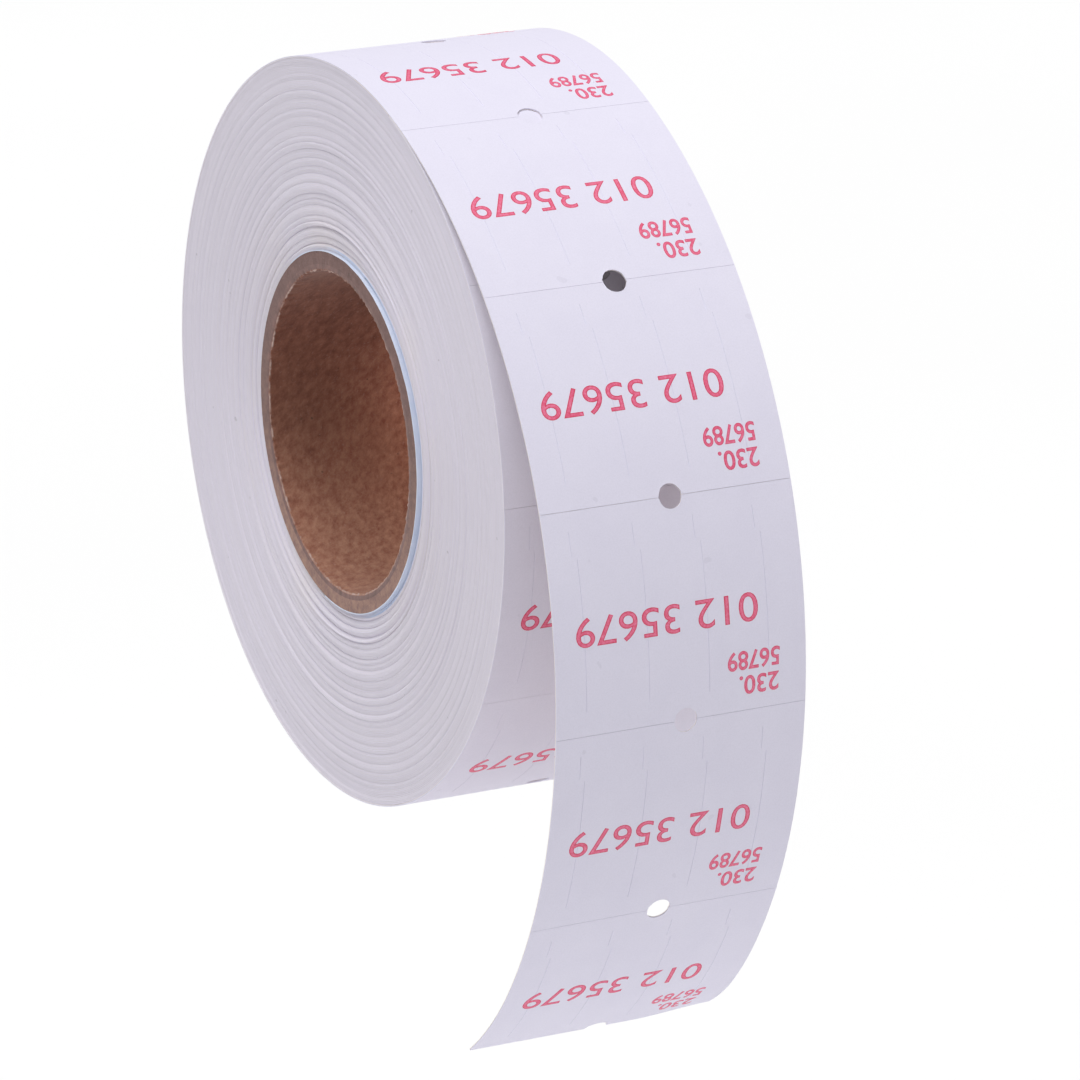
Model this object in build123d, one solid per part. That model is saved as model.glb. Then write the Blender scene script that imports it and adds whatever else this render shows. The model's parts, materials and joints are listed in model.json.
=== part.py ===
from build123d import *
import os
from math import cos, sin, pi, radians

# A roll of self-adhesive price labels for a two-line price labelling gun.
# A liner web carries the labels, is wound on a paperboard core, and its outer end hangs free
# as a tail. All sizes are in millimetres. The roll's axis is Y and +Z is up. The origin is the
# centre of the core's bore. The tail leaves the top of the roll towards +X and hangs down.

# Web: the liner and, on an adhesive film, its labels
WEB_WIDTH = 19.8
LABEL_PITCH = 16.0
LINER_THICKNESS = 0.045
ADHESIVE_THICKNESS = 0.02
LABEL_THICKNESS = 0.055
CUT_GAP = 0.12
FEED_HOLE_RADIUS = 0.9
FEED_HOLE_Y = 0.3

# Roll: the radius is that of the web's inner face where the tail leaves the roll
ROLL_RADIUS = 27.7
ROLL_LABELS = 11
LEAVE_ANGLE = radians(70.3)

# Tail: an arc that leaves the roll at a tangent, with its first cut line just past that point
TAIL_RADIUS = 39.6
FIRST_CUT = 2.3
TAIL_LABELS = 5

# Core: a tube of three glued paperboard plies, a little shorter than the web is wide
CORE_BORE_RADIUS = 12.0
CORE_OUTER_RADIUS = 13.45
CORE_PLIES = ("core_inner_ply", "core_middle_ply", "core_outer_ply")
CORE_LENGTH = WEB_WIDTH - 0.2

# Starter tape: holds the inner end of the web on the core
TAPE_THICKNESS = 0.08
TAPE_START = radians(-100)
TAPE_SWEEP = radians(225)
TAPE_WIDTH = WEB_WIDTH - 0.2

# The punch only has to pass right through the web
PUNCH_LENGTH = 2.0

WEB_THICKNESS = LINER_THICKNESS + ADHESIVE_THICKNESS + LABEL_THICKNESS
LABEL_FLOOR = LINER_THICKNESS + ADHESIVE_THICKNESS
STEP = WEB_THICKNESS / 2
HALF_TURN_1 = pi * ROLL_RADIUS
HALF_TURN_2 = pi * (ROLL_RADIUS - STEP)
TURN = HALF_TURN_1 + HALF_TURN_2


def direction(angle):
    """Unit vector in the X-Z plane, at an angle from +X towards +Z."""
    return Vector(cos(angle), 0, sin(angle))


def web_arc(place):
    """(centre, radius, angle) of the web's inner face at a place along it. Places are lengths
    along that face: 0 where the tail leaves the roll, positive down the tail, and negative back
    round the outer turn. The outer turn is two half circles whose radii differ by half the web's
    thickness, so the web winds in by its own thickness in one turn."""
    if place >= 0:
        centre = direction(LEAVE_ANGLE) * (ROLL_RADIUS - TAIL_RADIUS)
        return centre, TAIL_RADIUS, LEAVE_ANGLE - place / TAIL_RADIUS
    if place >= -HALF_TURN_1:
        return Vector(0, 0, 0), ROLL_RADIUS, LEAVE_ANGLE - place / ROLL_RADIUS
    centre = direction(LEAVE_ANGLE + pi) * STEP
    radius = ROLL_RADIUS - STEP
    return centre, radius, LEAVE_ANGLE + pi - (place + HALF_TURN_1) / radius


def web_point(place, height):
    """A point at mid width, at a height above the web's inner face."""
    centre, radius, angle = web_arc(place)
    return centre + direction(angle) * (radius + height)


def web_edges(start, end, height):
    """The arcs of one face of the web, from start to end, split where its curvature changes."""
    stops = [start, *[b for b in (-HALF_TURN_1, 0) if start < b < end], end]
    return [
        ThreePointArc(web_point(a, height), web_point((a + b) / 2, height), web_point(b, height))
        for a, b in zip(stops, stops[1:])
    ]


def along_width(edges, width):
    """The solid whose section is bounded by these edges, centred on the web's mid width."""
    return extrude(Face(Wire(edges)), amount=width / 2, dir=(0, 1, 0), both=True)


def web_layer(start, end, low, high):
    """One layer of the web between two places and two heights, over the full width."""
    edges = web_edges(start, end, high)
    edges += [Line(web_point(end, high), web_point(end, low))]
    edges += web_edges(start, end, low)[::-1]
    edges += [Line(web_point(start, low), web_point(start, high))]
    return along_width(edges, WEB_WIDTH)


def feed_punch(place):
    """The punch that makes the round feed hole on a cut line, a little off the web's middle."""
    middle = web_point(place, 0) + Vector(0, FEED_HOLE_Y, 0)
    normal = direction(web_arc(place)[2])
    return Plane(origin=middle, z_dir=normal) * Cylinder(FEED_HOLE_RADIUS, PUNCH_LENGTH)


def label(start):
    """The label that starts at this place, die-cut and punched at both ends. Its security slits
    are cuts with no width, so they aren't modelled."""
    end = start + LABEL_PITCH
    solid = web_layer(start + CUT_GAP / 2, end - CUT_GAP / 2, LABEL_FLOOR, WEB_THICKNESS)
    return solid - [feed_punch(start), feed_punch(end)]


def liner(start, end, cuts):
    """A length of the liner, punched at each of these cut lines."""
    return web_layer(start, end, 0, LINER_THICKNESS) - [feed_punch(cut) for cut in cuts]


def tube(inner, outer, length):
    """A tube round the roll's axis."""
    solid = Cylinder(outer, length) - Cylinder(inner, length)
    return Plane.XZ * solid


def core_ply(number):
    """One ply of the core, counted outwards from the bore."""
    ply = (CORE_OUTER_RADIUS - CORE_BORE_RADIUS) / len(CORE_PLIES)
    inner = CORE_BORE_RADIUS + number * ply
    return tube(inner, inner + ply, CORE_LENGTH)


def starter_tape():
    """The tape, which goes rather more than half way round the core."""
    inner = CORE_OUTER_RADIUS
    outer = inner + TAPE_THICKNESS
    angles = [TAPE_START + TAPE_SWEEP * share for share in (0, 0.5, 1)]
    start, middle, end = [direction(angle) for angle in angles]
    edges = [
        ThreePointArc(start * outer, middle * outer, end * outer),
        Line(end * outer, end * inner),
        ThreePointArc(end * inner, middle * inner, start * inner),
        Line(start * inner, start * outer),
    ]
    return along_width(edges, TAPE_WIDTH)


def wound_web():
    """All the turns under the outer one, as one ring. Its outside winds in by the web's
    thickness, with the step where the outer turn passes under the tail."""
    edges = web_edges(-TURN, 0, 0)
    edges += [Line(web_point(0, 0), web_point(-TURN, 0))]
    bore = Plane.XZ * Cylinder(CORE_OUTER_RADIUS + TAPE_THICKNESS, WEB_WIDTH)
    return along_width(edges, WEB_WIDTH) - bore


def save(shape, node):
    """Writes one sub-part."""
    export_step(shape, f"parts/{node}.step")


os.makedirs("parts", exist_ok=True)

for number, node in enumerate(CORE_PLIES):
    save(core_ply(number), node)
save(starter_tape(), "starter_tape")
save(wound_web(), "wound_web")

roll_cuts = [FIRST_CUT - n * LABEL_PITCH for n in range(ROLL_LABELS + 1)]
save(liner(-TURN, FIRST_CUT - CUT_GAP / 2, roll_cuts), "outer_turn_liner")
for number, start in enumerate(roll_cuts[1:], 1):
    save(label(start), f"roll_label_{number:02d}")

tail_cuts = [FIRST_CUT + n * LABEL_PITCH for n in range(TAIL_LABELS + 1)]
for number, (start, end) in enumerate(zip(tail_cuts, tail_cuts[1:]), 1):
    save(liner(start + CUT_GAP / 2, end - CUT_GAP / 2, (start, end)), f"tail_liner_{number}")
    name = "leading_label" if number == TAIL_LABELS else f"tail_label_{number}"
    save(label(start), name)
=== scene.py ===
import json
from math import atan2, cos, hypot, pi, radians, sin

import bmesh
import bpy
import numpy as np
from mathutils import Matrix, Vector


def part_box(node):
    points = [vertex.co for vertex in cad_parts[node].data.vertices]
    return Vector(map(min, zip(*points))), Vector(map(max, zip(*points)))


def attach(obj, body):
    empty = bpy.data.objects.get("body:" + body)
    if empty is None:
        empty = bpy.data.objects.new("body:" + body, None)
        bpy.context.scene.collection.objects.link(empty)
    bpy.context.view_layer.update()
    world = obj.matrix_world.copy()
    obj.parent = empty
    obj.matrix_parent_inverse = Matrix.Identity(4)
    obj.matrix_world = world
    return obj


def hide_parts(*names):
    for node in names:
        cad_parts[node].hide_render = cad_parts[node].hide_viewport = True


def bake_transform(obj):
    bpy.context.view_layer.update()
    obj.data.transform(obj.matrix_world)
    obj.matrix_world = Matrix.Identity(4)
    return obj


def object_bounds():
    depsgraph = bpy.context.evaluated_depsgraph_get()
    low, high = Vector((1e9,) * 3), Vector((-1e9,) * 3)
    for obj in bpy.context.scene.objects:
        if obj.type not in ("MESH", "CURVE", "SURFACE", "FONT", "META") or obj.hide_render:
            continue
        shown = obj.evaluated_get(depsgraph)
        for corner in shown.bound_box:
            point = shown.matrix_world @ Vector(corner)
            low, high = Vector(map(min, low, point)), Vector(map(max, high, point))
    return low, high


# The looks of a roll of self-adhesive price labels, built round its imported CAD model. Lengths
# are in metres. The roll's axis is Y, +Z is up, and the tail leaves the top towards +X. A point
# of the web is given by its place along it, its y across it and its height above its inner face.

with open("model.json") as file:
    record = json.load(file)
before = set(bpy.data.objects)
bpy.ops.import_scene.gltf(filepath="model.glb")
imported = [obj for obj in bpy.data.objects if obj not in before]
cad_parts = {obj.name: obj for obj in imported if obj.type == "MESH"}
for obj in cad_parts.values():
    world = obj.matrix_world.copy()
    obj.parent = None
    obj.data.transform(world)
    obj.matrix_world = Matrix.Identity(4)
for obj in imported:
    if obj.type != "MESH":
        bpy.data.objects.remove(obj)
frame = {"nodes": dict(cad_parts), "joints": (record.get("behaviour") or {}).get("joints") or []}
cad_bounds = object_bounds()

MM = 0.001

# ---- The web's layers, which are thinner than the frame's boxes can tell ----
WEB_THICKNESS = 0.12 * MM
LINER_TOP = 0.045 * MM
LABEL_FLOOR = 0.050 * MM
CUT_WIDTH = 0.022 * MM
FEED_HOLE_RADIUS = 0.9 * MM
FEED_HOLE_Y = 0.3 * MM

# ---- Fineness of the meshes ----
ROW_STEP = 0.40 * MM
ROW_CLEARANCE = ROW_STEP / 5
COLUMN_STEP = 0.9 * MM
HOLE_ROWS = 16
HOLE_COLUMNS = 5
HOLE_STRIP = 1.2 * MM
CREASE = radians(38)

# ---- Security slits: share of the label's width, then (start, end, side step) of each stroke ----
SLIT_SHARES = (0.11, 0.36, 0.60, 0.84)
SLIT_STROKES = ((0.09, 0.20, -0.2 * MM), (0.21, 0.89, 0.2 * MM))
SLIT_HALF_WIDTH = 0.026 * MM
SLIT_DEPTH = 0.038 * MM
SLIT_RAMP = 0.03 * MM
SLIT_CLEARANCE = 0.15 * MM
SAME_PLACE = 1e-9
SAME_ROW = 1e-7

# ---- How the free tail departs from its arc ----
FREE_START = 3 * MM
FREE_FADE = 25 * MM
COCKLE_HEIGHT = 0.05 * MM
COCKLE_LENGTHS = (23 * MM, 37 * MM)
END_CURL, END_CURL_REACH = 0.25 * MM, 9 * MM
CORNER_CURL, CORNER_CURL_REACH = 0.28 * MM, 5 * MM
CORNER_START = 0.35

# ---- Paper raised at a label's cut ends and round its feed holes ----
EDGE_LIFT, EDGE_LIFT_REACH = 0.012 * MM, 0.45 * MM
BURR_HEIGHT, BURR_REACH = 0.014 * MM, 0.10 * MM
HOLE_SEED = 40
HOLE_SHUT = 1e-12
HOLE_RAG = 0.05
HOLE_RAG_LENGTHS = (0.32 * MM, 0.75 * MM)

# ---- How far the bending spreads either side of a hinge ----
BEND_REACH = 7.3 * MM
CREASE_REACH = 1.5 * MM
PEEL_START, PEEL_END = 1 * MM, 9 * MM

TAIL_HINGES = ("tail_lift", "tail_curl", "tail_curl_3", "tail_curl_4", "tail_curl_5")


# =============================== Places taken from the frame ===============================

def circle_through(a, b, c):
    """Centre and radius of the circle through three points of the X-Z plane."""
    rows = np.array([b - a, c - a])
    sides = np.array([b @ b - a @ a, c @ c - a @ a]) / 2
    centre = np.linalg.solve(rows, sides)
    return centre, hypot(*(a - centre))


pivots = {j["name"]: np.array(j["pos_m"])[[0, 2]] for j in frame["joints"]}
hinges = [pivots[name] for name in TAIL_HINGES]
tail_centre, hinge_radius = circle_through(hinges[0], hinges[2], hinges[4])
TAIL_RADIUS = hinge_radius - WEB_THICKNESS / 2
LEAVE_ANGLE = atan2(-tail_centre[1], -tail_centre[0])
ROLL_RADIUS = TAIL_RADIUS - hypot(*tail_centre)
STEP = WEB_THICKNESS / 2
HALF_TURN = pi * ROLL_RADIUS

hinge_angles = [atan2(*(h - tail_centre)[::-1]) for h in hinges]
CUTS = [(LEAVE_ANGLE - a) * TAIL_RADIUS for a in hinge_angles]
PITCH = (CUTS[-1] - CUTS[0]) / (len(CUTS) - 1)
TAIL_END = CUTS[-1] + PITCH

ROLL_LABELS = sorted(n for n in frame["nodes"] if n.startswith("roll_label"))
ROLL_START = CUTS[0] - PITCH * len(ROLL_LABELS)

WEB_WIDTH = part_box("wound_web")[1].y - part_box("wound_web")[0].y
HALF_WIDTH = WEB_WIDTH / 2
TAPE_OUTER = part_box("starter_tape")[1].x
TAPE_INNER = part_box("core_outer_ply")[1].x
CORE_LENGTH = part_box("core_outer_ply")[1].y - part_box("core_outer_ply")[0].y
CORE_BORE = 12.0 * MM


def direction(angle):
    """Unit vectors in the X-Z plane."""
    return np.cos(angle), np.sin(angle)


def web_surface(place, y, height):
    """Points on the web. Places run down the tail from 0, where it leaves the roll, and are
    negative round the outer turn, which is two half circles and winds in by one thickness."""
    place, y, height = np.broadcast_arrays(place, y, height)
    on_tail = place >= 0
    on_first = (place < 0) & (place >= -HALF_TURN)
    inner = ROLL_RADIUS - STEP
    angle = np.where(on_tail, LEAVE_ANGLE - place / TAIL_RADIUS,
                     np.where(on_first, LEAVE_ANGLE - place / ROLL_RADIUS,
                              LEAVE_ANGLE + pi - (place + HALF_TURN) / inner))
    radius = np.where(on_tail, TAIL_RADIUS, np.where(on_first, ROLL_RADIUS, inner)) + height
    leave_x, leave_z = direction(LEAVE_ANGLE)
    centre_x = np.where(on_tail, tail_centre[0], np.where(on_first, 0, -STEP * leave_x))
    centre_z = np.where(on_tail, tail_centre[1], np.where(on_first, 0, -STEP * leave_z))
    away_x, away_z = direction(angle)
    return np.stack([centre_x + radius * away_x, y, centre_z + radius * away_z], axis=-1)


# ===================================== Shape helpers =====================================

def ripple(x, seed, lengths):
    """A smooth random wave of about unit size: one sine for each wave length."""
    phases = np.random.default_rng(seed).uniform(0, 2 * pi, len(lengths))
    return sum(np.sin(2 * pi * x / d + p) for d, p in zip(lengths, phases)) / len(lengths)


def smooth(t):
    """Rises gently from 0 to 1 as t does."""
    t = np.clip(t, 0, 1)
    return t * t * (3 - 2 * t)


def cockle(place, y):
    """How far the free tail waves out of its arc, and how its end curls in, most at one corner.
    The roll itself is tight and doesn't."""
    def near_end(reach):
        return np.clip((place - TAIL_END + reach) / reach, 0, 1) ** 2

    free = smooth((place - FREE_START) / FREE_FADE)
    along = ripple(place, 5, COCKLE_LENGTHS)
    across = 1 - (y / HALF_WIDTH) ** 2
    to_corner = smooth((y / HALF_WIDTH - CORNER_START) / (1 - CORNER_START))
    corner = near_end(CORNER_CURL_REACH) * to_corner
    end = near_end(END_CURL_REACH)
    return free * (COCKLE_HEIGHT * along * across - END_CURL * end - CORNER_CURL * corner)


def from_cut(place):
    """Distance along the web to the nearest cut line."""
    return np.abs((place - CUTS[0] + PITCH / 2) % PITCH - PITCH / 2)


def edge_lift(place):
    """How far a label's cut ends stand off the liner."""
    return EDGE_LIFT * np.exp(-from_cut(place) / EDGE_LIFT_REACH)


def punch_burr(place, y):
    """How far the paper is raised round a feed hole."""
    from_edge = np.abs(np.hypot(from_cut(place), y - FEED_HOLE_Y) - FEED_HOLE_RADIUS)
    return BURR_HEIGHT * np.exp(-from_edge / BURR_REACH)


def label_height(place, y):
    """Height of a label's upper face."""
    return WEB_THICKNESS + cockle(place, y) + edge_lift(place) + punch_burr(place, y)


def hole_half_width(place, cuts, side):
    """Half the width of the feed hole at each place, with the punch's slight raggedness."""
    wide = np.zeros_like(place)
    for cut in cuts:
        gap = FEED_HOLE_RADIUS ** 2 - (place - cut) ** 2
        seed = HOLE_SEED + int(round(cut / PITCH)) * 2 + side
        uneven = 1 + HOLE_RAG * ripple(place - cut, seed, HOLE_RAG_LENGTHS)
        wide = np.maximum(wide, np.sqrt(np.where(gap > HOLE_SHUT, gap, 0)) * uneven)
    return wide


def new_piece(name, points, faces, material, crease=CREASE):
    """A smooth-shaded mesh of four-cornered faces."""
    mesh = bpy.data.meshes.new(name)
    mesh.vertices.add(len(points))
    mesh.vertices.foreach_set("co", np.asarray(points, np.float32).ravel())
    mesh.loops.add(faces.size)
    mesh.loops.foreach_set("vertex_index", np.asarray(faces, np.int32).ravel())
    mesh.polygons.add(len(faces))
    mesh.polygons.foreach_set("loop_start", np.arange(0, faces.size, 4, dtype=np.int32))
    mesh.update(calc_edges=True)
    mesh.shade_smooth()
    mesh.set_sharp_from_angle(angle=crease)
    mesh.materials.append(material)
    piece = bpy.data.objects.new(name, mesh)
    bpy.context.scene.collection.objects.link(piece)
    return piece


def solid_between(name, top, bottom, quads, material, crease=CREASE):
    """A closed mesh from a top skin, a bottom skin and walls along the skins' open edges."""
    count = len(top)
    edges = np.concatenate([quads[:, [k, (k + 1) % 4]] for k in range(4)])
    key = edges[:, 0] * count + edges[:, 1]
    opposite = edges[:, 1] * count + edges[:, 0]
    a, b = edges[~np.isin(key, opposite)].T
    walls = np.stack([b, a, a + count, b + count], axis=1)
    faces = np.concatenate([quads, quads[:, ::-1] + count, walls])
    return new_piece(name, np.concatenate([top, bottom]), faces, material, crease)


def grid_quads(index):
    """The faces between neighbouring rows and columns of a grid of vertex numbers."""
    corners = (index[:-1, :-1], index[1:, :-1], index[1:, 1:], index[:-1, 1:])
    return np.stack(corners, axis=-1).reshape(-1, 4)


def ring_quads(around, along):
    """The faces of a closed tube of rings: around rings of along points each."""
    j, k = np.meshgrid(np.arange(around), np.arange(along), indexing="ij")
    jn, kn = (j + 1) % around, (k + 1) % along
    corners = (j * along + k, jn * along + k, jn * along + kn, j * along + kn)
    return np.stack(corners, axis=-1).reshape(-1, 4)


def used_points(quads):
    """The numbers of the points that the faces use, and the faces counted in those points."""
    used, packed = np.unique(quads, return_inverse=True)
    return used, packed.reshape(quads.shape)


# ===================================== Paper sheets =====================================

def sheet_rows(start, end, cuts, marks):
    """Places of a sheet's rows: even steps, with rows of their own for holes and slit ends."""
    turns = np.linspace(-pi / 2, pi / 2, HOLE_ROWS + 1)
    special = [start, end, *marks]
    for cut in cuts:
        special += list(cut + FEED_HOLE_RADIUS * np.sin(turns))
    special = np.array(sorted(s for s in special if start <= s <= end))
    even = np.linspace(start, end, int((end - start) / ROW_STEP) + 2)
    clear = np.min(np.abs(even[:, None] - special[None, :]), axis=1) > ROW_CLEARANCE
    rows = np.sort(np.concatenate([special, even[clear]]))
    return rows[np.concatenate([[True], np.diff(rows) > SAME_ROW])]


def slit_lines():
    """(y, start share, end share) of every slit stroke."""
    for share in SLIT_SHARES:
        for start, end, side_step in SLIT_STROKES:
            yield (share - 0.5) * WEB_WIDTH + side_step, start, end


def sheet_columns(with_slits):
    """The y places of columns outside the strip that the feed holes bend, on either side."""
    strip = FEED_HOLE_Y - HOLE_STRIP, FEED_HOLE_Y + HOLE_STRIP
    even = np.concatenate([np.arange(-HALF_WIDTH, strip[0] - COLUMN_STEP / 2, COLUMN_STEP), strip,
                           np.arange(HALF_WIDTH, strip[1] + COLUMN_STEP / 2, -COLUMN_STEP)])
    if not with_slits:
        return np.sort(even)
    middles = np.array([y for y, _, _ in slit_lines()])
    clear = np.min(np.abs(even[:, None] - middles[None, :]), axis=1) > SLIT_CLEARANCE
    clear |= np.min(np.abs(even[:, None] - np.array(strip)), axis=1) < SAME_PLACE
    clear |= np.abs(np.abs(even) - HALF_WIDTH) < SAME_PLACE
    grooves = (middles[:, None] + np.array([-1, 0, 1]) * SLIT_HALF_WIDTH).ravel()
    return np.sort(np.concatenate([even[clear], grooves]))


def slit_depth(place, y, label_start):
    """Depth of the slits' grooves in a label's upper face."""
    depth = np.zeros_like(place)
    for middle, start, end in slit_lines():
        inside = np.minimum(place - label_start - start * PITCH, label_start + end * PITCH - place)
        cut = np.clip(inside / SLIT_RAMP, 0, 1) * SLIT_DEPTH
        depth = np.where(np.abs(y - middle) < 1e-8, np.maximum(depth, cut), depth)
    return depth


def paper_sheet(name, start, end, cuts, material, label_start=None):
    """A piece of label, if label_start says where that label begins, or else of liner."""
    is_label = label_start is not None
    marks = []
    if is_label:
        ends = [share for _, *shares in slit_lines() for share in shares]
        marks = [label_start + share * PITCH for share in sorted(set(ends))]
        marks += [m + SLIT_RAMP * way for m in list(marks) for way in (-1, 1)]
    place = sheet_rows(start, end, cuts, marks)
    columns = sheet_columns(is_label)
    shares = np.linspace(0, 1, HOLE_COLUMNS + 1)[1:]
    blocks, index, total = [], [], 0
    widths = [hole_half_width(place, cuts, side) for side in (0, 1)]
    shut = (widths[0] == 0) | (widths[1] == 0)
    for side, sign in enumerate((-1, 1)):
        outer = columns[(columns - FEED_HOLE_Y) * sign > 0]
        half = np.where(shut, 0, widths[side])
        near = FEED_HOLE_Y + sign * (HOLE_STRIP + (half[:, None] - HOLE_STRIP) * shares)
        far = np.broadcast_to(outer, (len(place), len(outer)))
        y = np.concatenate([far, near] if sign < 0 else [near[:, ::-1], far], axis=1)
        blocks.append(y)
        index.append(total + np.arange(y.size).reshape(y.shape))
        total += y.size
    index[1][shut, 0] = index[0][shut, -1]
    y = np.concatenate([b.ravel() for b in blocks])
    along = np.concatenate([np.repeat(place, b.shape[1]) for b in blocks])
    if is_label:
        high = label_height(along, y) - slit_depth(along, y, label_start)
        low = LABEL_FLOOR + cockle(along, y) + edge_lift(along)
    else:
        high = LINER_TOP + cockle(along, y)
        low = cockle(along, y)
    used, quads = used_points(np.concatenate([grid_quads(i) for i in index]))
    top = web_surface(along, y, high)[used]
    bottom = web_surface(along, y, low)[used]
    return solid_between(name, top, bottom, quads, material)


# ======================================== Print ========================================

# Each row: text, how far down the pitch its middle is, its height as a share of the pitch, the
# shares of the width where it starts and ends, and how much its strokes are thickened
PRINT_ROWS = (
    ("012 35679", 0.534, 0.130, 0.813, 0.088, 0.004),
    ("56789", 0.770, 0.083, 0.893, 0.685, 0.016),
    ("230.", 0.884, 0.083, 0.888, 0.732, 0.016),
)
# Each layer of ink: how much its strokes are widened, and its height
INK_LAYERS = ((0.0, 0.005 * MM), (-0.020, 0.008 * MM))
INK_SINK = 0.003 * MM
TEXT_BANDS = 6
CURVE_STEPS = 5
TEXT_WELD, TEXT_SNAP = 1e-5, 1e-6


def flat_text(text, thickening):
    """The text as a flat mesh, one unit to the em."""
    curve = bpy.data.curves.new("text", "FONT")
    curve.body = text
    curve.offset = thickening
    curve.resolution_u = CURVE_STEPS
    carrier = bpy.data.objects.new("text", curve)
    bpy.context.scene.collection.objects.link(carrier)
    bpy.context.view_layer.update()
    seen = carrier.evaluated_get(bpy.context.evaluated_depsgraph_get())
    mesh = bpy.data.meshes.new_from_object(seen)
    bpy.data.objects.remove(carrier)
    bpy.data.curves.remove(curve)
    return mesh


def add_row(target, row, label_start, layer):
    """Lays one row of digits on a label, as a thin closed layer of ink."""
    text, middle, tall, left, right, bold = row
    inset, thickness = INK_LAYERS[layer]
    plain = flat_text(text, 0)
    outline = np.array([v.co[:2] for v in plain.vertices])
    bpy.data.meshes.remove(plain)
    low, high = outline.min(0), outline.max(0)
    mesh = flat_text(text, bold + inset)
    ink = bmesh.new()
    ink.from_mesh(mesh)
    bpy.data.meshes.remove(mesh)
    bmesh.ops.remove_doubles(ink, verts=ink.verts, dist=TEXT_WELD)
    for share in np.linspace(0, 1, TEXT_BANDS + 1)[1:-1]:
        level = low[1] + share * (high[1] - low[1])
        geometry = [*ink.verts, *ink.edges, *ink.faces]
        bmesh.ops.bisect_plane(ink, geom=geometry, dist=TEXT_SNAP,
                               plane_co=(0, level, 0), plane_no=(0, 1, 0))
    lower = {v: target.verts.new((0, 0, 0)) for v in ink.verts}
    upper = {v: target.verts.new((0, 0, 0)) for v in ink.verts}
    for v in ink.verts:
        across = (v.co.x - low[0]) / (high[0] - low[0])
        down = (v.co.y - low[1]) / (high[1] - low[1]) - 0.5
        y = (left + (right - left) * across - 0.5) * WEB_WIDTH
        place = label_start + (middle + tall * down) * PITCH
        base = float(label_height(place, y))
        lower[v].co = web_surface(place, y, base - INK_SINK)
        upper[v].co = web_surface(place, y, base + thickness)
    for face in ink.faces:
        made = [target.faces.new([upper[v] for v in face.verts]),
                target.faces.new([lower[v] for v in reversed(face.verts)])]
        for loop in face.loops:
            if len(loop.edge.link_faces) == 1:
                a, b = loop.vert, loop.link_loop_next.vert
                made.append(target.faces.new([upper[b], upper[a], lower[a], lower[b]]))
        for f in made:
            f.material_index = layer
    ink.free()


def label_print(name, label_start, inks):
    """All the print on one label, as one piece."""
    target = bmesh.new()
    for layer in range(len(INK_LAYERS)):
        for row in PRINT_ROWS:
            add_row(target, row, label_start, layer)
    bmesh.ops.recalc_face_normals(target, faces=target.faces)
    mesh = bpy.data.meshes.new(name)
    target.to_mesh(mesh)
    target.free()
    for ink in inks:
        mesh.materials.append(ink)
    piece = bpy.data.objects.new(name, mesh)
    bpy.context.scene.collection.objects.link(piece)
    return piece


# ======================================= Materials =======================================

LABEL_PALE, LABEL_SHADED, LABEL_GLOSS = (0.765, 0.740, 0.865), (0.747, 0.722, 0.85), 0.62
LINER_PALE, LINER_SHADED, LINER_GLOSS = (0.87, 0.79, 0.745), (0.85, 0.765, 0.72), 0.42
OUTER_LINER_PALE, OUTER_LINER_SHADED = (0.82, 0.77, 0.80), (0.80, 0.75, 0.78)
EDGE_INKS = (0.60, 0.020, 0.075), (0.72, 0.070, 0.17)
BODY_INKS = (0.75, 0.080, 0.18), (0.84, 0.22, 0.36)
SMUDGE = (0.42, 0.40, 0.50)
# Painted shade: the colour where one turn of the wound web meets the next
TURN_GAP_SHADE = (0.58, 0.545, 0.62)
LINER_EDGE_IN, LINER_EDGE_OUT = (0.74, 0.70, 0.75), (0.73, 0.69, 0.74)
LABEL_EDGE_IN, LABEL_EDGE_OUT = (0.695, 0.66, 0.77), (0.71, 0.675, 0.785)
GREY_EDGE = (0.665, 0.63, 0.69)
# The second of these colours is painted shade, a thin line in the crevice beside the tape
TAPE_GLOW, TAPE_CREVICE_SHADE = (0.70, 0.73, 0.84), (0.52, 0.62, 0.83)
TAPE_DARK, TAPE_PALE = (0.64, 0.70, 0.84), (0.71, 0.75, 0.87)
WARM_EDGE = (0.74, 0.68, 0.64)
DUST = (0.30, 0.28, 0.30)
BOARD_LIGHT, BOARD_DARK = (0.31, 0.128, 0.084), (0.165, 0.052, 0.032)
BOARD_CUT, BOARD_CUT_DARK = (0.25, 0.138, 0.122), (0.16, 0.078, 0.068)
BOARD_LIP = (0.50, 0.36, 0.32)
# Painted light: the paler colour given to the bore low down, where light falls in
BOARD_PAINTED_LIGHT = (0.50, 0.30, 0.20)
BOARD_SPECK = (0.05, 0.028, 0.02)
CORE_TWIST = -32.0
TAPE_MIDDLE = radians(12)


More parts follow.
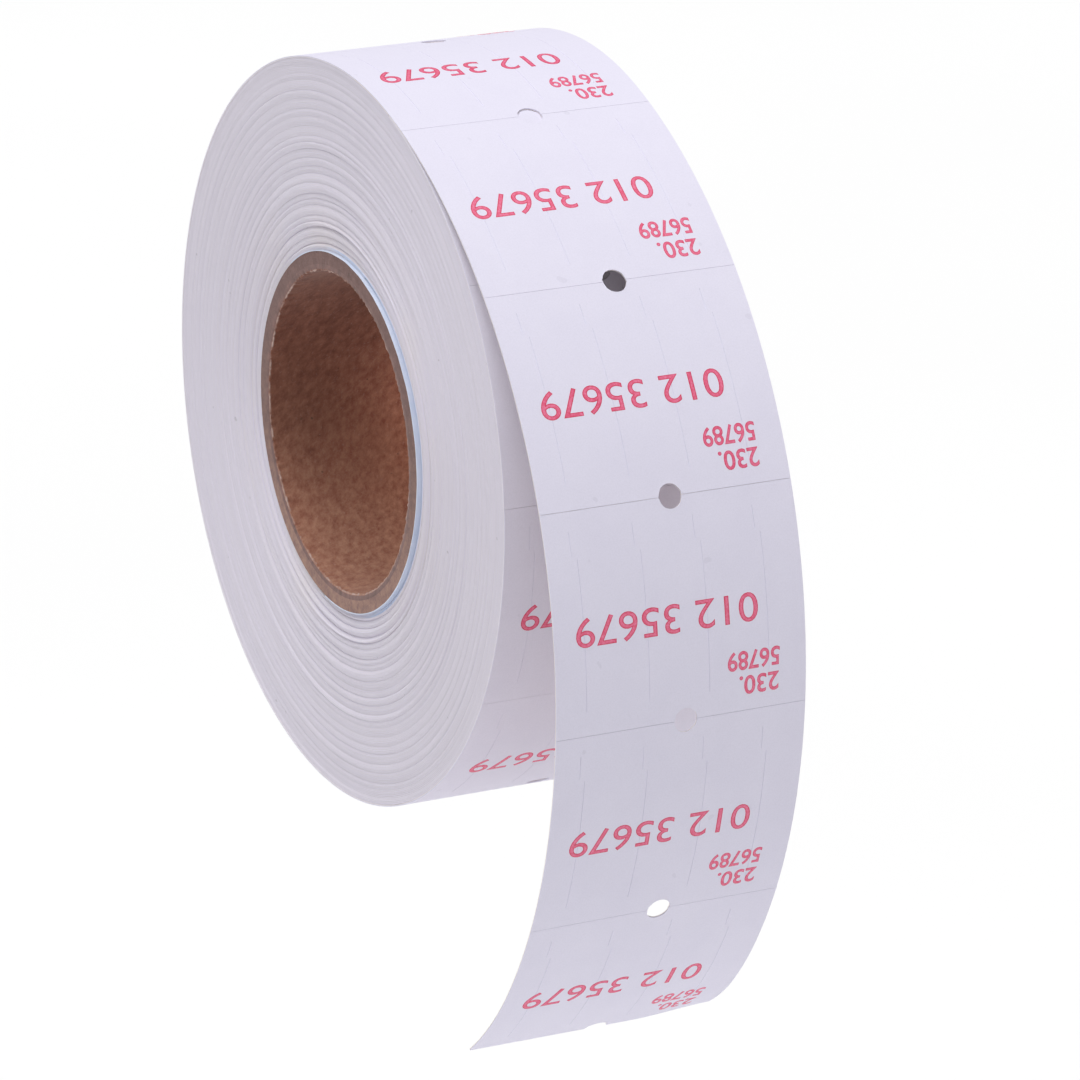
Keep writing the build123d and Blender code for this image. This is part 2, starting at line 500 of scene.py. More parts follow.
class Nodes:
    """Short ways to add nodes to one material."""

    def __init__(self, name, **values):
        self.material = bpy.data.materials.new(name)
        self.material.use_nodes = True
        self.tree = self.material.node_tree
        self.shader = self.tree.nodes["Principled BSDF"]
        for socket, value in values.items():
            self.shader.inputs[socket.replace("_", " ")].default_value = value
        self.coordinates = self.add("ShaderNodeTexCoord").outputs["Object"]

    def add(self, kind, **settings):
        node = self.tree.nodes.new(kind)
        for key, value in settings.items():
            setattr(node, key, value)
        return node

    def feed(self, socket, value):
        if isinstance(value, bpy.types.NodeSocket):
            self.tree.links.new(value, socket)
        elif value is not None:
            socket.default_value = value

    def math(self, operation, a, b=None):
        node = self.add("ShaderNodeMath", operation=operation)
        self.feed(node.inputs[0], a)
        self.feed(node.inputs[1], b)
        return node.outputs[0]

    def noise(self, scale, detail=2.0, roughness=0.5, vector=None):
        node = self.add("ShaderNodeTexNoise")
        self.feed(node.inputs["Vector"], self.coordinates if vector is None else vector)
        self.feed(node.inputs["Scale"], scale)
        self.feed(node.inputs["Detail"], detail)
        self.feed(node.inputs["Roughness"], roughness)
        return node.outputs["Fac"]

    def ramp(self, value, *stops):
        """Colours, or grey levels, at places along a value."""
        node = self.add("ShaderNodeValToRGB")
        self.feed(node.inputs["Fac"], value)
        elements = node.color_ramp.elements
        while len(elements) < len(stops):
            elements.new(0.5)
        for element, (place, colour) in zip(elements, stops):
            element.position = place
            shade = colour if isinstance(colour, tuple) else (colour,) * 3
            element.color = (*shade, 1)
        return node.outputs["Color"]

    def mix(self, share, a, b, kind="MIX"):
        node = self.add("ShaderNodeMix", data_type="RGBA", blend_type=kind)
        self.feed(node.inputs["Factor"], share)
        for name, value in (("A", a), ("B", b)):
            socket = next(s for s in node.inputs if s.name == name and s.type == "RGBA")
            self.feed(socket, (*value, 1) if isinstance(value, tuple) else value)
        return next(s for s in node.outputs if s.type == "RGBA")

    def split(self):
        node = self.add("ShaderNodeSeparateXYZ")
        self.feed(node.inputs[0], self.coordinates)
        return node.outputs

    def join(self, x, y, z):
        node = self.add("ShaderNodeCombineXYZ")
        for socket, value in zip(node.inputs, (x, y, z)):
            self.feed(socket, value)
        return node.outputs[0]

    def radius(self):
        """Distance from the roll's axis."""
        x, _, z = self.split()
        squares = self.math("MULTIPLY", x, x), self.math("MULTIPLY", z, z)
        return self.math("SQRT", self.math("ADD", *squares))

    def bump(self, height, distance, strength):
        node = self.add("ShaderNodeBump")
        self.feed(node.inputs["Height"], height)
        self.feed(node.inputs["Distance"], distance)
        self.feed(node.inputs["Strength"], strength)
        chained = self.shader.inputs["Normal"].links
        if chained:
            self.feed(node.inputs["Normal"], chained[0].from_socket)
        self.feed(self.shader.inputs["Normal"], node.outputs["Normal"])

    def colour(self, value):
        self.feed(self.shader.inputs["Base Color"], value)

    def rough(self, value):
        self.feed(self.shader.inputs["Roughness"], value)


def paper(name, pale, shaded, gloss):
    """Coated paper: soft cloudiness, fine fibres and a slightly uneven gloss."""
    n = Nodes(name, Specular_IOR_Level=0.30)
    cloud = n.noise(260, detail=4, roughness=0.6)
    fibre = n.noise(9000, detail=2)
    tone = n.mix(n.ramp(cloud, (0.35, 0.0), (0.70, 1.0)), pale, shaded)
    smudge = n.ramp(n.noise(800, detail=1), (0.77, 0.0), (0.80, 0.14))
    tone = n.mix(smudge, tone, SMUDGE)
    speck = n.ramp(fibre, (0.30, 0.965), (0.62, 1.0))
    n.colour(n.mix(1.0, tone, speck, "MULTIPLY"))
    n.rough(n.ramp(cloud, (0.3, gloss), (0.7, gloss + 0.10)))
    n.bump(n.noise(14000, detail=3, roughness=0.6), 0.002 * MM, 0.5)
    n.bump(n.noise(700, detail=2), 0.010 * MM, 0.25)
    return n.material


def wound_edges():
    """The edges of the turns: pale bands of label and warmer lines of liner, wound in a spiral."""
    n = Nodes("wound_edges", Specular_IOR_Level=0.25)
    x, _, z = n.split()
    angle = n.math("ARCTAN2", z, x)
    turns = n.math("SUBTRACT", n.math("DIVIDE", n.radius(), WEB_THICKNESS),
                   n.math("DIVIDE", angle, -2 * pi))
    within = n.math("FRACT", turns)
    # The darkest colour, where one turn meets the next, is painted shade in the groove between
    # them
    layer = n.ramp(within, (0.0, TURN_GAP_SHADE), (0.10, LINER_EDGE_IN), (0.36, LINER_EDGE_OUT),
                   (0.44, LABEL_EDGE_IN), (1.0, LABEL_EDGE_OUT))
    drift = n.noise(1.0, detail=3, vector=n.join(n.math("MULTIPLY", turns, 0.9), 0.0, 0.0))
    banded = n.mix(n.ramp(drift, (0.35, 0.0), (0.65, 0.55)), layer, GREY_EDGE)
    near_core = n.math("SUBTRACT", n.radius(), TAPE_OUTER)
    in_mm = n.math("DIVIDE", near_core, 1 * MM)
    warm = n.ramp(n.math("DIVIDE", near_core, 6 * MM), (0.0, 0.30), (1.0, 0.0))
    cloud = n.ramp(n.noise(140, detail=3), (0.40, 0.0), (0.70, 1.0))
    tinted = n.mix(n.math("MULTIPLY", warm, cloud), banded, WARM_EDGE)
    dust = n.ramp(n.noise(1500, detail=1), (0.80, 0.0), (0.82, 0.35))
    side = n.math("COSINE", n.math("SUBTRACT", angle, TAPE_MIDDLE))
    taped = n.ramp(side, (0.0, 0.0), (0.05, 0.0), (0.30, 1.0))
    blue = n.ramp(in_mm, (0.0, 1.0), (0.24, 1.0), (0.34, 0.0))
    # A thin darker blue ring just out from the tape is painted shade in the crevice where the tape
    # meets the drawn-in turns
    line = n.ramp(in_mm, (0.19, 0.0), (0.23, 1.0), (0.29, 1.0), (0.34, 0.0))
    tinted = n.mix(n.math("MULTIPLY", taped, blue), tinted, TAPE_GLOW)
    tinted = n.mix(n.math("MULTIPLY", taped, line), tinted, TAPE_CREVICE_SHADE)
    n.colour(n.mix(dust, tinted, DUST))
    n.rough(n.ramp(n.noise(600), (0.3, 0.70), (0.7, 0.85)))
    n.bump(n.noise(5200, detail=3), 0.012 * MM, 0.6)
    return n.material


def helical(n):
    """Coordinates turned along the core, so that a pattern in them winds round it in a helix."""
    turn = n.add("ShaderNodeVectorRotate", rotation_type="Y_AXIS")
    n.feed(turn.inputs["Vector"], n.coordinates)
    n.feed(turn.inputs["Angle"], n.math("MULTIPLY", n.split()[1], CORE_TWIST))
    return turn.outputs[0]


def core_board(name, light, dark, cut=None):
    """Kraft paperboard: finely mottled, with short fibres along the tube's winding, made paler
    low in the bore and towards its far end by painted light, and paler where it is torn at the
    bore's ends. Cut is the colour of the board's cut end, if the skin has another."""
    n = Nodes(name, Specular_IOR_Level=0.18, Sheen_Weight=0.18, Sheen_Roughness=0.5)
    laid = helical(n)
    mottle = n.noise(1500, detail=6, roughness=0.7, vector=laid)
    patches = n.noise(300, detail=3, vector=laid)
    fibre = n.noise(5200, detail=3, roughness=0.6, vector=laid)
    mottled = n.ramp(mottle, (0.34, 0.0), (0.66, 1.0))
    tone = n.mix(mottled, dark, light)
    tone = n.mix(n.ramp(patches, (0.40, 0.0), (0.70, 0.22)), tone, light)
    tone = n.mix(n.ramp(fibre, (0.58, 0.0), (0.75, 0.30)), tone, BOARD_LIP)
    specks = n.ramp(n.noise(2300, detail=1), (0.775, 0.0), (0.80, 0.8))
    tone = n.mix(specks, tone, BOARD_SPECK)
    _, y, z = n.split()
    # Painted light: from here the board is made paler low in the bore, most towards its far (+Y)
    # end and at the very bottom, for the light that falls in there
    low = n.math("DIVIDE", n.math("SUBTRACT", CORE_BORE, z), 2 * CORE_BORE)
    wear_and_painted_light = n.ramp(low, (0.30, 0.0), (0.95, 0.5))
    tone = n.mix(wear_and_painted_light, tone, n.mix(mottled, light, BOARD_PAINTED_LIGHT))
    along = n.math("DIVIDE", n.math("ADD", y, CORE_LENGTH / 2), CORE_LENGTH)
    depth = n.math("POWER", n.ramp(along, (0.10, 0.0), (0.60, 1.0)), 2.0)
    painted_light_deep = n.math("MULTIPLY", depth, n.ramp(low, (0.25, 0.0), (0.60, 1.0)))
    level = n.math("ADD", 0.80, n.math("MULTIPLY", painted_light_deep, 1.45))
    level = n.math("ADD", level, n.ramp(low, (0.60, 0.0), (0.85, 0.22)))
    tone = n.mix(1.0, tone, n.join(level, level, level), "MULTIPLY")
    inset = n.math("SUBTRACT", CORE_LENGTH / 2, n.math("ABSOLUTE", y))
    wall = n.math("DIVIDE", n.math("SUBTRACT", n.radius(), CORE_BORE), 1 * MM)
    grain = n.ramp(mottle, (0.34, 0.55), (0.66, 1.0))
    if cut:
        uneven = n.math("MULTIPLY", n.noise(1700), 0.10)
        on_cut = n.ramp(n.math("ADD", wall, uneven), (0.16, 0.0), (0.19, 1.0))
        tone = n.mix(on_cut, tone, n.mix(1.0, cut, grain, "MULTIPLY"))
    at_end = n.ramp(n.math("DIVIDE", inset, 1 * MM), (0.10, 1.0), (0.20, 0.0))
    at_bore = n.ramp(wall, (0.06, 1.0), (0.13, 0.0))
    torn = n.ramp(n.noise(1300, detail=3), (0.42, 0.0), (0.60, 1.0))
    share = n.math("MULTIPLY", n.math("MULTIPLY", at_end, at_bore), torn)
    n.colour(n.mix(share, tone, BOARD_LIP))
    n.rough(n.ramp(mottle, (0.3, 0.78), (0.7, 0.95)))
    n.bump(mottle, 0.035 * MM, 0.7)
    n.bump(fibre, 0.012 * MM, 0.6)
    return n.material


def tape():
    """Pale blue starter tape, a little cloudy."""
    n = Nodes("starter_tape_film", Specular_IOR_Level=0.40)
    cloud = n.noise(420, detail=3)
    share = n.ramp(cloud, (0.35, 0.0), (0.65, 1.0))
    n.colour(n.mix(share, TAPE_DARK, TAPE_PALE))
    n.rough(n.ramp(cloud, (0.3, 0.35), (0.7, 0.50)))
    n.bump(n.noise(4000), 0.004 * MM, 0.5)
    return n.material


def ink(name, strong, thin):
    """Red ink that lies a little unevenly on the paper."""
    n = Nodes(name, Specular_IOR_Level=0.60)
    cover = n.noise(5200, detail=3, roughness=0.65)
    flow = n.noise(900, detail=2)
    tone = n.mix(n.ramp(cover, (0.40, 0.0), (0.72, 1.0)), strong, thin)
    n.colour(n.mix(n.ramp(flow, (0.35, 0.0), (0.70, 0.30)), tone, thin))
    n.rough(n.ramp(flow, (0.3, 0.40), (0.7, 0.55)))
    n.bump(cover, 0.002 * MM, 0.5)
    return n.material


def floor_paint():
    """The plain pale floor."""
    n = Nodes("floor_paint", Roughness=0.9, Specular_IOR_Level=0.1)
    n.colour(n.ramp(n.noise(6, detail=2), (0.3, 0.865), (0.7, 0.88)))
    return n.material


# ================================ The wound web and the core ================================

# ---- The bands of turns, and the profile of one turn's edge ----
BAND_TURNS = 39
TURN_COLUMNS = 360
TURN_PROFILE = np.array([0.0, 0.16, 0.5, 0.84])
TURN_GROOVE = 0.015 * MM
LAST_TURN = round((ROLL_RADIUS - WEB_THICKNESS - TAPE_OUTER) / WEB_THICKNESS)
SIDE_INSET = 0.01 * MM
BORE_GAP = 0.006 * MM

# ---- How far the turns have slipped sideways, in groups that stand out as ridges ----
SLIP_AT_CORE, SLIP_FADE, SLIP_ALL_OVER = 0.40 * MM, 55, 0.09 * MM
FLUSH_TURNS = 5
GROUP_TURNS = (3.2, 6.8)
RIDGE_SIZES, RIDGE_SKEWS, RIDGE_ROUNDNESS, RIDGE_SHARE = (0.45, 1.0), (0.75, 1.5), 0.75, 0.65
DRIFT = 0.35
FINE_STEP, FINE_FADE = 0.37, 70
FINE_AT_CORE, FINE_ALL_OVER = 0.010 * MM, 0.003 * MM
SUNK, SUNK_REACH = 0.30 * MM, 1.0 * MM

# ---- The starter tape, which lies round part of the core ----
TAPE_START = radians(-100)
TAPE_SWEEP = radians(225)
TAPE_FADE = radians(4)
TAPE_COLUMNS, TAPE_ROWS = 260, 12
TAPE_UNEVEN = 0.025 * MM

# ---- The core's plies, its worn ends and its loose fibres ----
RING_COLUMNS, END_STEPS = 720, 4
GLUE_GAP = 0.004 * MM
RAG_SINES = 14
END_BEVEL = 0.025 * MM
LIP_REACH, LIP_WEAR, LIP_NICKS = 0.35 * MM, 0.05 * MM, 0.06 * MM
TORN_DEPTH = 0.10 * MM
FUZZ, FUZZ_REACH = 0.005 * MM, 0.2 * MM
SEAM_WIDTH, SEAM_DEPTH = 0.018, 0.05 * MM
FIBRE_COUNT, FIBRE_STATIONS = 110, 5
FIBRE_DEPTHS = (0.02, 0.06, 0.3, 0.6, 0.9)
FIBRE_ROOT = 0.08 * MM


def outer_face_radius(clockwise):
    """Radius of the wound web's outside at an angle clockwise from where the tail leaves."""
    first = ROLL_RADIUS - STEP - STEP * np.cos(clockwise)
    return np.where(clockwise < pi, first, ROLL_RADIUS)


def slip_room(turns):
    """How far sideways the turns lie scattered, from the core out to the flush outer turns."""
    flush = np.clip((LAST_TURN - turns) / FLUSH_TURNS, 0.2, 1)
    return (SLIP_AT_CORE * np.exp(-turns / SLIP_FADE) + SLIP_ALL_OVER) * flush


def side_shift(turns):
    """How far each turn has slipped in from the near side. Groups of turns stand out as rounded
    ridges with narrow valleys between them, boldest near the core."""
    rng = np.random.default_rng(11)
    knots, at = [0.0], 0.0
    while at < LAST_TURN + 2:
        at += rng.uniform(*GROUP_TURNS)
        knots.append(at)
    knots = np.array(knots)
    group = np.clip(np.searchsorted(knots, turns, side="right") - 1, 0, len(knots) - 2)
    share = (turns - knots[group]) / (knots[group + 1] - knots[group])
    sizes = rng.uniform(*RIDGE_SIZES, len(knots))
    skews = rng.uniform(*RIDGE_SKEWS, len(knots))
    skewed = share ** skews[group]
    ridge = np.clip(4 * skewed * (1 - skewed), 0, 1) ** RIDGE_ROUNDNESS
    drift = np.interp(turns, knots, rng.uniform(0, DRIFT, len(knots)))
    places = np.arange(0, LAST_TURN + 3, FINE_STEP)
    fine = np.interp(turns, places, rng.uniform(-1, 1, len(places)))
    out = RIDGE_SHARE * ridge * sizes[group] + drift
    fine_size = FINE_AT_CORE * np.exp(-turns / FINE_FADE) + FINE_ALL_OVER
    return slip_room(turns) * (1 - out) + fine * fine_size


def sunk_by_core(radius, angle):
    """How far the turns next to the core are drawn in, mostly on its right."""
    lean = 0.5 + 0.5 * np.cos(angle + 0.15)
    return SUNK * lean * np.clip(1 - (radius - TAPE_OUTER) / SUNK_REACH, 0, 1)


def tape_cover(angle):
    """1 where the starter tape lies on the core and 0 where it doesn't, with soft ends."""
    past = (angle - TAPE_START) % (2 * pi)
    ending = smooth((TAPE_SWEEP + TAPE_FADE - past) / TAPE_FADE)
    beginning = smooth((past - 2 * pi + TAPE_FADE) / TAPE_FADE)
    return np.where(past < TAPE_SWEEP + TAPE_FADE, ending, beginning)


def web_bore_radius(angle):
    """Inside of the innermost turn, which lies on the tape or else right on the core."""
    return TAPE_INNER + BORE_GAP + (TAPE_OUTER - TAPE_INNER) * tape_cover(angle)


def wound_band(name, number, material):
    """One band of turns: a closed ring whose near and far sides show every turn's edge."""
    rows = BAND_TURNS * len(TURN_PROFILE) + 1
    within = np.append(np.tile(TURN_PROFILE, BAND_TURNS), 0.0)
    turn = np.append(np.repeat(np.arange(BAND_TURNS), len(TURN_PROFILE)), BAND_TURNS)
    clockwise = np.linspace(0, 2 * pi, TURN_COLUMNS + 1)
    along = number * BAND_TURNS + (turn + within)[None, :]
    share = clockwise[:, None] / (2 * pi)
    radius = outer_face_radius(clockwise)[:, None] - (LAST_TURN - along) * WEB_THICKNESS
    angle = np.broadcast_to(LEAVE_ANGLE - clockwise[:, None], radius.shape)
    turns = np.broadcast_to(along - within[None, :] + share, radius.shape)
    shift = side_shift(turns + within[None, :])
    groove = np.broadcast_to(TURN_GROOVE * (within[None, :] == 0), radius.shape)
    sunk = sunk_by_core(radius, angle)
    near = -HALF_WIDTH + SIDE_INSET + shift + groove + sunk
    far = HALF_WIDTH - SIDE_INSET - slip_room(turns) + shift - groove
    if number == 0:
        radius[:, 0] = web_bore_radius(angle[:, 0])
    index = np.arange(radius.size).reshape(radius.shape)
    per_turn = len(TURN_PROFILE)
    index[-1, :rows - per_turn] = index[0, per_turn:]
    used, quads = used_points(grid_quads(index)[:, ::-1])
    x, z = radius * np.cos(angle), radius * np.sin(angle)
    near_skin = np.stack([x, near, z], axis=-1).reshape(-1, 3)[used]
    far_skin = np.stack([x, far, z], axis=-1).reshape(-1, 3)[used]
    return solid_between(name, far_skin, near_skin, quads, material, radians(50))


def ring(name, inner, outer, along, shape, material):
    """A closed tube as long as the core, whose skin is pushed about by shape(angle, y, layer),
    which returns changes of radius and of y. Layer is 0 on the bore, 1 on the outside and
    between on the ends."""
    y_line = np.linspace(-0.5, 0.5, along) * CORE_LENGTH
    far_end = np.full(END_STEPS, CORE_LENGTH / 2)
    end_line = np.linspace(0, 1, END_STEPS + 2)[1:-1]
    y = np.concatenate([y_line, far_end, y_line[::-1], -far_end])
    layer = np.concatenate([np.zeros(along), end_line, np.ones(along), end_line[::-1]])
    around, points_round = RING_COLUMNS, len(y)
    angle = np.linspace(0, 2 * pi, around, endpoint=False)[:, None]
    radius = np.broadcast_to(inner + (outer - inner) * layer, (around, points_round))
    y = np.broadcast_to(y, radius.shape)
    change_r, change_y = shape(angle, y, np.broadcast_to(layer, radius.shape))
    radius, y = radius + change_r, y + change_y
    points = np.stack([radius * np.cos(angle), y, radius * np.sin(angle)], axis=-1).reshape(-1, 3)
    return new_piece(name, points, ring_quads(around, points_round), material)


def rag(angle, seed, waves):
    """A ragged edge round a ring, the same at both ends of the turn."""
    rng = np.random.default_rng(seed)
    counts = rng.integers(*waves, RAG_SINES)
    phases = rng.uniform(0, 2 * pi, RAG_SINES)
    sizes = rng.uniform(0.4, 1.0, RAG_SINES)
    return sum(s * np.sin(c * angle + p) for c, p, s in zip(counts, phases, sizes)) / 5


def at_ends(y, reach):
    """1 at the core's ends, fading over about this reach."""
    return np.exp(-(np.abs(np.abs(y) - CORE_LENGTH / 2)) / reach)


def inner_ply_shape(angle, y, layer):
    """The bore: torn, bevelled lips at both ends and a shallow helical seam."""
    near_end = at_ends(y, LIP_REACH)
    torn = np.clip(rag(angle, 3, (24, 170)) + 0.1, -1.0, 1.5)
    radial = near_end * (1 - layer) * TORN_DEPTH * torn
    wear_and_painted_light = LIP_WEAR + LIP_NICKS * np.clip(rag(angle, 4, (40, 230)), 0, 2)
    inward = -np.sign(y) * near_end * (END_BEVEL + wear_and_painted_light * (1 - layer) ** 2)
    seam = (angle - y * CORE_TWIST) % (2 * pi)
    groove = np.exp(-((seam - pi) / SEAM_WIDTH) ** 2) * SEAM_DEPTH * (1 - layer)
    return radial + groove, inward


def mid_ply_shape(seed):
    """A ply whose cut ends are a little fuzzy."""
    def shape(angle, y, layer):
        near_end = at_ends(y, FUZZ_REACH)
        fuzz = rag(angle, seed, (60, 260)) + 0.6 * rag(angle + 7 * layer, seed + 1, (90, 300))
        return np.zeros_like(y), -np.sign(y) * near_end * (END_BEVEL + FUZZ * fuzz)
    return shape


def core_fibres(name, count, material):
    """Loose paper fibres standing out of the cut ends of the core."""
    rng = np.random.default_rng(21)
    points, faces = [], []
    for _ in range(count):
        angle = rng.uniform(0, 2 * pi)
        radius = CORE_BORE + rng.choice(FIBRE_DEPTHS) * MM
        end = rng.choice([-1, 1])
        root_y = end * (CORE_LENGTH / 2 - FIBRE_ROOT)
        root = np.array([radius * cos(angle), root_y, radius * sin(angle)])
        inwards = np.array([-cos(angle), 0.0, -sin(angle)])
        sideways = np.array([-sin(angle), 0.0, cos(angle)])
        lean = inwards * rng.uniform(0.05, 0.30) + sideways * rng.uniform(-0.35, 0.35)
        tip = root + lean * MM * rng.uniform(0.4, 1.0)
        bend = sideways * rng.uniform(-0.10, 0.10) * MM + np.array([0, end * 0.03 * MM, 0])
        thick = rng.uniform(0.008, 0.016) * MM
        stations = np.linspace(0, 1, FIBRE_STATIONS)
        start = len(points)
        for t in stations:
            middle = root + (tip - root) * t + bend * 4 * t * (1 - t)
            width = thick * (1 - 0.7 * t)
            for k in range(4):
                turn = k * pi / 2
                offset = inwards * cos(turn) + np.array([0, 1.0, 0]) * sin(turn)
                points.append(middle + offset * width)
        for s in range(len(stations) - 1):
            for k in range(4):
                a = start + s * 4 + k
                b = start + s * 4 + (k + 1) % 4
                faces.append([a, b, b + 4, a + 4])
        faces.append([start + 3, start + 2, start + 1, start])
        last = start + (len(stations) - 1) * 4
        faces.append([last, last + 1, last + 2, last + 3])
    return new_piece(name, np.array(points), np.array(faces)[:, ::-1], material)


def starter_tape(name, material):
    """The tape round the core, slightly waved, with slightly uneven edges."""
    columns, rows = TAPE_COLUMNS, TAPE_ROWS
    angle = TAPE_START + TAPE_SWEEP * np.linspace(0, 1, columns)[:, None]
    across = np.linspace(-0.5, 0.5, rows)[None, :] * CORE_LENGTH
    at_edge = np.abs(across) > 0.49 * CORE_LENGTH
    uneven = TAPE_UNEVEN * rag(angle, 8, (3, 40)) * at_edge
    y = across - np.sign(across) * uneven
    inner = np.full_like(y, TAPE_INNER + 0.002 * MM)
    waved = TAPE_OUTER - 0.004 * MM + 0.002 * MM * np.sin(40 * angle)
    outer = np.broadcast_to(waved, y.shape)

    def skin(radius):
        points = np.stack([radius * np.cos(angle), y, radius * np.sin(angle)], axis=-1)
        return points.reshape(-1, 3)

    quads = grid_quads(np.arange(columns * rows).reshape(columns, rows))[:, ::-1]
    return solid_between(name, skin(outer), skin(inner), quads, material)


# ======================================= Assembly =======================================

def crosses(piece, hinge_number, start, end):
    """Bakes the piece's placement into its mesh. The hinge number is not used, and the places
    along the web only give two points that are not used.
    """
    ends = [Vector(web_surface(place, 0, 0)) for place in (start, end)]
    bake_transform(piece)


def bend_zone(hinge_number):
    """Where the web bends for a hinge. The first can't reach back on to the roll, and the last
    is a crease at its cut line, because the label beyond it peels and has to stay flat on it."""
    cut = CUTS[hinge_number - 1]
    if hinge_number == 1:
        return 0.0, cut + BEND_REACH
    if hinge_number == len(CUTS):
        return cut - CREASE_REACH, cut
    return cut - BEND_REACH, cut + BEND_REACH


def build_roll(label_paper, inks):
    """The outer turn of the roll, up to the middle of the last label before the tail."""
    first_middle = CUTS[0] - PITCH / 2
    roll_cuts = [CUTS[0] - PITCH * k for k in range(len(ROLL_LABELS) + 1)]
    edge_paper = paper("outer_liner_face", OUTER_LINER_PALE, OUTER_LINER_SHADED, LINER_GLOSS)
    liner = paper_sheet("outer_liner", ROLL_START, first_middle, roll_cuts, edge_paper)
    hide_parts("outer_turn_liner")
    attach(liner, "roll")
    for number, node in enumerate(ROLL_LABELS):
        start = ROLL_START + number * PITCH
        end = start + PITCH
        is_last = number == len(ROLL_LABELS) - 1
        piece = paper_sheet(f"{node}_face", start + CUT_WIDTH / 2, end - CUT_WIDTH / 2,
                            [start, end], label_paper, label_start=start)
        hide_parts(node)
        printed = label_print(f"{node}_print", start, inks)
        for part in (piece, printed):
            if is_last:
                crosses(part, 1, *bend_zone(1))
            else:
                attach(part, "roll")


def build_tail(label_paper, liner_paper, inks):
    """The tail: a length of liner round each cut, and each label in two halves with its print."""
    count = len(CUTS)
    for number, cut in enumerate(CUTS, 1):
        last = number == count
        zone = bend_zone(number)
        start, end = cut - PITCH / 2, TAIL_END if last else cut + PITCH / 2
        liner = paper_sheet(f"tail_liner_bend_{number}", start, end,
                            [cut, TAIL_END] if last else [cut], liner_paper)
        before = [f"tail_liner_{number - 1}"] if number > 1 else []
        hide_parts(f"tail_liner_{number}", *before)
        crosses(liner, number, *zone)
        if last:
            break
        middle = cut + PITCH / 2
        halves = (("head", cut + CUT_WIDTH / 2, middle, number),
                  ("foot", middle, cut + PITCH - CUT_WIDTH / 2, number + 1))
        for half, begin, finish, hinge in halves:
            piece = paper_sheet(f"tail_label_{number}_{half}", begin, finish,
                                [cut, cut + PITCH], label_paper, label_start=cut)
            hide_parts(f"tail_label_{number}")
            crosses(piece, hinge, *bend_zone(hinge))
        printed = label_print(f"tail_label_{number}_print", cut, inks)
        crosses(printed, number + 1, *bend_zone(number + 1))


def build_leading_label(label_paper, inks):
    """The first label off, from its cut line to the end of the tail, with its print."""
    start = CUTS[-1]
    piece = paper_sheet("leading_label_face", start + CUT_WIDTH / 2, TAIL_END,
                        [start, TAIL_END], label_paper, label_start=start)
    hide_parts("leading_label")
    printed = label_print("leading_label_print", start, inks)
    ends = [Vector(web_surface(start + d, 0, LINER_TOP)) for d in (PEEL_START, PEEL_END)]
    for part in (piece, printed):
        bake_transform(part)


def build_wound_web():
    """The turns under the outer one, in bands."""
    material = wound_edges()
    for number in range(LAST_TURN // BAND_TURNS):
        band = wound_band(f"wound_turns_{number + 1}", number, material)
        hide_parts("wound_web")
        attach(band, "roll")


def build_core():
    """The paperboard core, its loose fibres and the starter tape."""
    inner_board = core_board("core_bore_board", BOARD_LIGHT, BOARD_DARK, BOARD_CUT)
    cut_board = core_board("core_cut_board", BOARD_CUT, BOARD_CUT_DARK)
    ply = (TAPE_INNER - CORE_BORE) / 3
    plies = (("core_inner_ply", inner_board, inner_ply_shape, 48),
             ("core_middle_ply", cut_board, mid_ply_shape(31), 8),
             ("core_outer_ply", cut_board, mid_ply_shape(33), 8))
    for number, (node, board, shape, along) in enumerate(plies):
        inner = CORE_BORE + ply * number
        piece = ring(f"{node}_board", inner, inner + ply - GLUE_GAP, along, shape, board)
        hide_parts(node)
        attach(piece, "roll")
    fibres = core_fibres("core_loose_fibres", FIBRE_COUNT, cut_board)
    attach(fibres, "roll")
    strip = starter_tape("starter_tape_strip", tape())
    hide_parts("starter_tape")
    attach(strip, "roll")


# ================================= Camera, lights and floor =================================

VIEW_AZIMUTH = radians(63.07)
VIEW_ELEVATION = radians(17.5)
VIEW_DISTANCE = 0.4784
VIEW_LENS_MM = 214.9
VIEW_AIM = Vector((0.00529, 0.00428, -0.0088))
FLOOR_DROP = 0.060
FLOOR_REACH = 6.0
SKY_LEVEL = 0.30
SOFTBOX_TOWARD, SOFTBOX_STRENGTH, SOFTBOX_WIDTH = (0.02, -0.21, 1.0), 2.72, 50


def add_camera():
    """The camera, level and at the angle the roll is seen from."""
    flat = cos(VIEW_ELEVATION)
    back = Vector((sin(VIEW_AZIMUTH) * flat, -cos(VIEW_AZIMUTH) * flat, sin(VIEW_ELEVATION)))
    camera = bpy.data.objects.new("camera", bpy.data.cameras.new("camera"))
    camera.data.lens = VIEW_LENS_MM
    camera.data.sensor_width = 36
    camera.data.clip_start = 0.01
    camera.location = VIEW_AIM + back * VIEW_DISTANCE
    camera.rotation_euler = (-back).to_track_quat("-Z", "Y").to_euler()
    bpy.context.scene.collection.objects.link(camera)
    bpy.context.scene.camera = camera


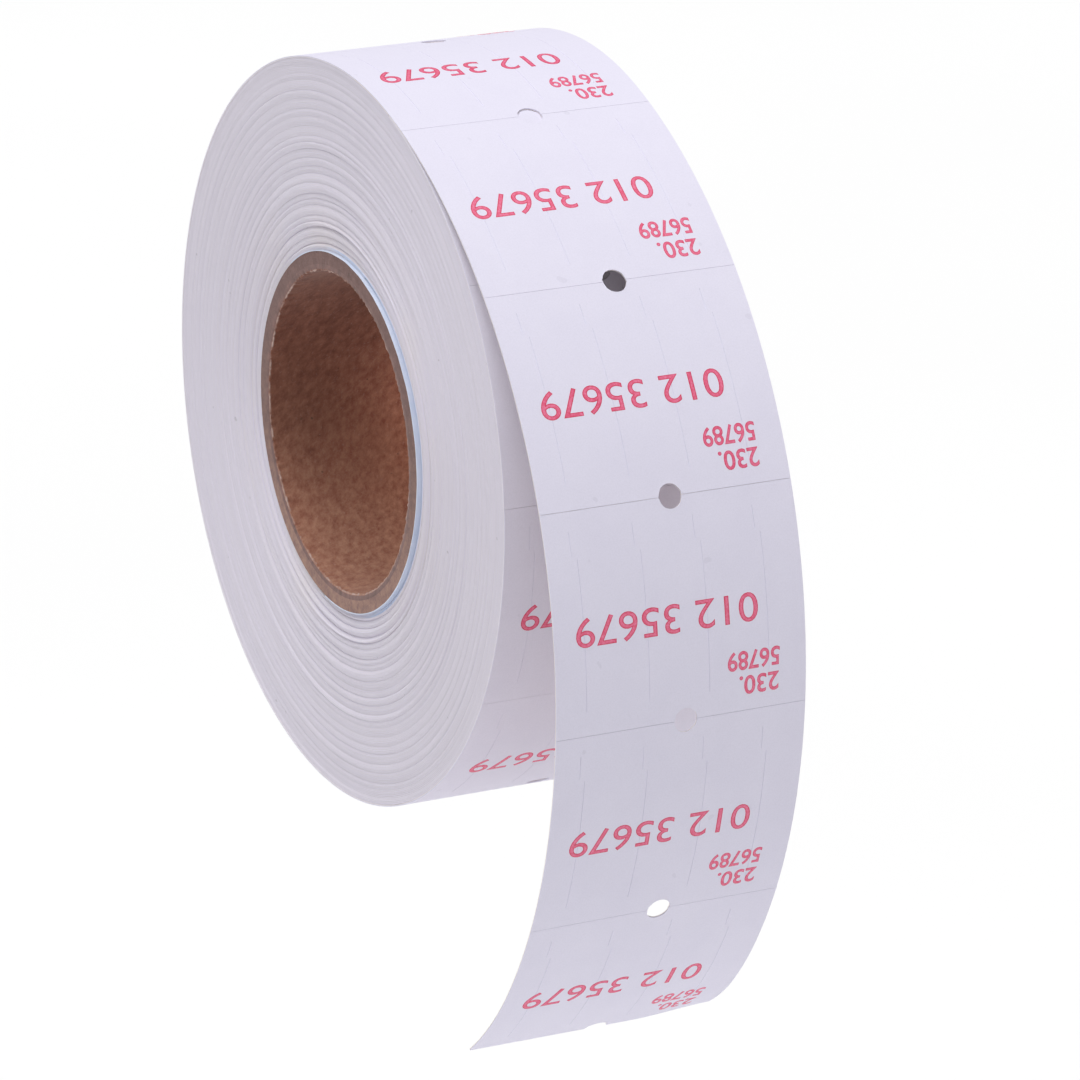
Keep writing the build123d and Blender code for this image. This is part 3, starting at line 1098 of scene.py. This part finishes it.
def add_sun(name, toward, strength, softness):
    """A very large softbox, far enough off to light the floor evenly."""
    light = bpy.data.objects.new(name, bpy.data.lights.new(name, "SUN"))
    light.data.energy = strength
    light.data.angle = radians(softness)
    light.rotation_euler = Vector(toward).to_track_quat("Z", "Y").to_euler()
    bpy.context.scene.collection.objects.link(light)


def add_studio():
    """Pale surroundings that are white near the horizon, an overhead softbox and the floor."""
    world = bpy.data.worlds.new("studio")
    world.use_nodes = True
    nodes, links = world.node_tree.nodes, world.node_tree.links
    split = nodes.new("ShaderNodeSeparateXYZ")
    ramp = nodes.new("ShaderNodeValToRGB")
    links.new(nodes.new("ShaderNodeTexCoord").outputs["Generated"], split.inputs[0])
    links.new(split.outputs["Z"], ramp.inputs["Fac"])
    links.new(ramp.outputs["Color"], nodes["Background"].inputs["Color"])
    low, high = ramp.color_ramp.elements
    low.position, low.color = 0.05, (1, 1, 1, 1)
    high.position, high.color = 0.12, (*(SKY_LEVEL,) * 3, 1)
    bpy.context.scene.world = world
    add_sun("overhead_softbox", SOFTBOX_TOWARD, SOFTBOX_STRENGTH, SOFTBOX_WIDTH)
    floor = bpy.data.meshes.new("floor")
    level = cad_bounds[0].z - FLOOR_DROP
    signs = ((-1, -1), (1, -1), (1, 1), (-1, 1))
    corners = [(x * FLOOR_REACH, y * FLOOR_REACH, level) for x, y in signs]
    floor.from_pydata(corners, [], [(0, 1, 2, 3)])
    floor.materials.append(floor_paint())
    ground = bpy.data.objects.new("floor", floor)
    bpy.context.scene.collection.objects.link(ground)
    bpy.context.scene.view_settings.view_transform = "Standard"


add_camera()
add_studio()
label_paper = paper("label_face", LABEL_PALE, LABEL_SHADED, LABEL_GLOSS)
liner_paper = paper("liner_face", LINER_PALE, LINER_SHADED, LINER_GLOSS)
inks = ink("ink_edge", *EDGE_INKS), ink("ink_body", *BODY_INKS)
build_core()
build_wound_web()
build_roll(label_paper, inks)
build_tail(label_paper, liner_paper, inks)
build_leading_label(label_paper, inks)
